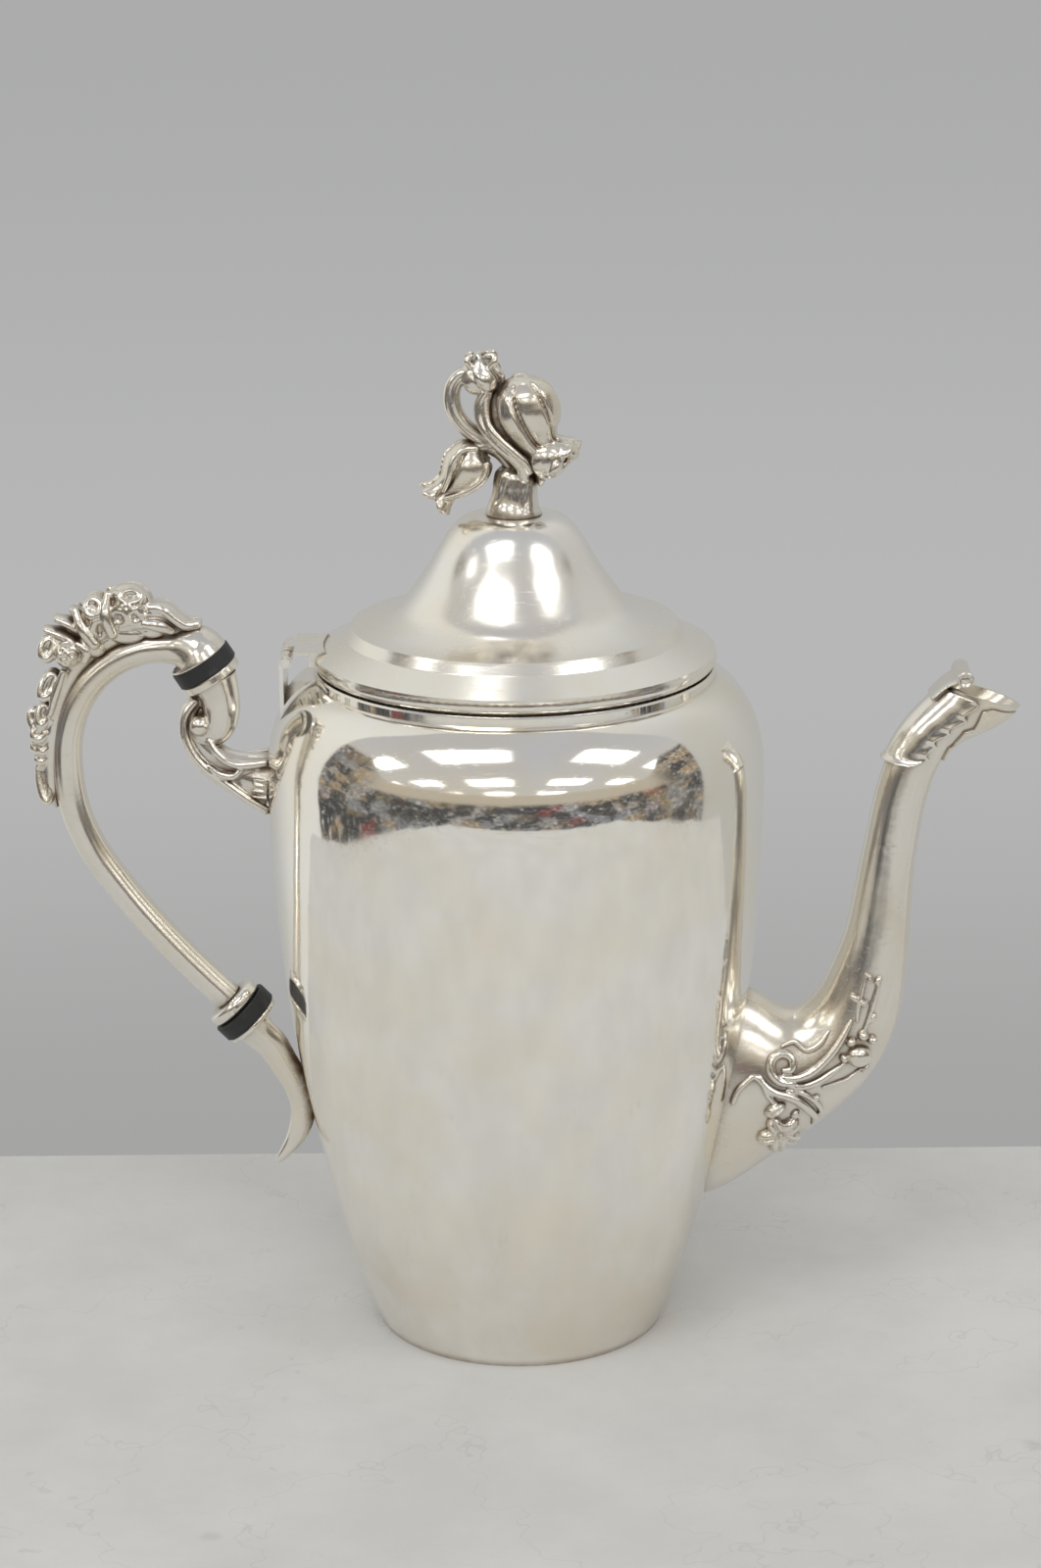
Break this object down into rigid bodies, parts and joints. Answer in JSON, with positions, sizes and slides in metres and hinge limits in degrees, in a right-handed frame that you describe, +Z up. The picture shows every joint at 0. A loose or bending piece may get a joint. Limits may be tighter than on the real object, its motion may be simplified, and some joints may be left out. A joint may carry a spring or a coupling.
{
  "type": "coffee pot",
  "caption": "Tall silver coffee pot with a tapering round body, S-shaped spout, hinged bell-shaped lid with a flower finial, and a C handle set off by black insulating discs.",
  "frame": {"origin": "centre of the flat base, on the body's axis, at the surface the pot stands on", "axes": "+Z up, +X towards the spout, -X towards the handle, Y across"},
  "size_m": [0.2507, 0.1254, 0.2547],
  "materials": {
    "silver_polished": "polished silver plate with fine handling scratches",
    "silver_cast": "cast silver plate, bright on the high points and dark in the recesses",
    "insulator_black": "matt black fibre",
    "steel": "plain turned metal"
  },
  "bodies": {
    "pot": {"body_shell": "silver_polished", "base_disc": "silver_polished", "mouth_collar": "silver_polished", "spout_shell": "silver_cast", "spout_leaf": "silver_cast", "hinge_body_bracket": "silver_polished", "hinge_body_knuckles": "silver_polished", "hinge_pin": "silver_polished", "handle_upper_socket": "silver_cast", "handle_upper_socket_ring": "silver_cast", "handle_upper_insulator": "insulator_black", "handle_upper_pins": "silver_cast", "handle_grip": "silver_cast", "handle_flower_spray": "silver_cast", "handle_lower_collar": "silver_cast", "handle_lower_insulator": "insulator_black", "handle_lower_pins": "silver_cast", "handle_lower_socket_ring": "silver_cast", "handle_lower_socket": "silver_cast"},
    "lid": {"lid_shell": "silver_polished", "lid_rim_wire": "silver_polished", "lid_bezel": "silver_polished", "hinge_lid_leaf": "silver_polished", "hinge_lid_knuckle": "silver_polished", "finial_trunk": "silver_cast", "finial_large_bloom": "silver_cast", "finial_small_bloom": "silver_cast", "finial_bud_stem": "silver_cast", "finial_stud": "steel", "finial_washer": "steel", "finial_nut": "steel"}
  },
  "joints": [
    {"name": "lid_hinge", "type": "hinge", "parent": "pot", "child": "lid", "pos_m": [-0.057, 0, 0.179], "axis": [0, -1, 0], "range_deg": [0, 100]}
  ]
}
